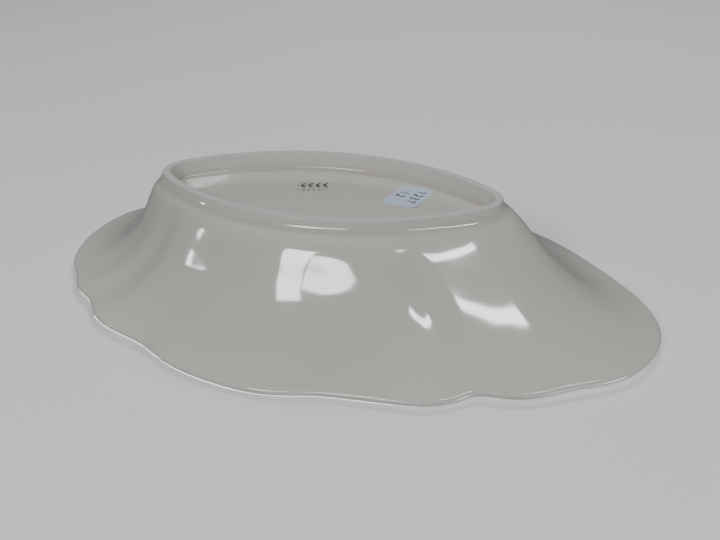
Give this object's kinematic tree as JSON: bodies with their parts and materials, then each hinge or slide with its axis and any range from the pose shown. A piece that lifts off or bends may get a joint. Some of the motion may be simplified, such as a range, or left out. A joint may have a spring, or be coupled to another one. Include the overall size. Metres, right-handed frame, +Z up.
{
  "type": "porcelain serving bowl",
  "caption": "Oval porcelain serving bowl with a wavy flared rim, standing on an oval foot ring with an unglazed edge.",
  "frame": {"origin": "centre of the oval foot ring's standing plane", "axes": "+X along the bowl's length towards its longer end, +Y across it towards the side with the front waves, +Z up out of the bowl"},
  "size_m": [0.2504, 0.1587, 0.048],
  "materials": {
    "glazed_porcelain": "smooth ivory glaze, glossy",
    "foot_glaze": "smooth ivory glaze, glossy, slightly pooled",
    "bare_porcelain": "unglazed, fine and matt, a little grey from use",
    "stamp_print": "thin grey-green ceramic print",
    "label_paper": "matt paper sticker",
    "pen_ink": "dark blue-black pen"
  },
  "bodies": {
    "root": {"bowl_body": "glazed_porcelain", "foot_ring": "foot_glaze", "foot_bare_edge": "bare_porcelain", "backstamp": "stamp_print", "price_label": "label_paper", "label_writing": "pen_ink"}
  },
  "joints": []
}
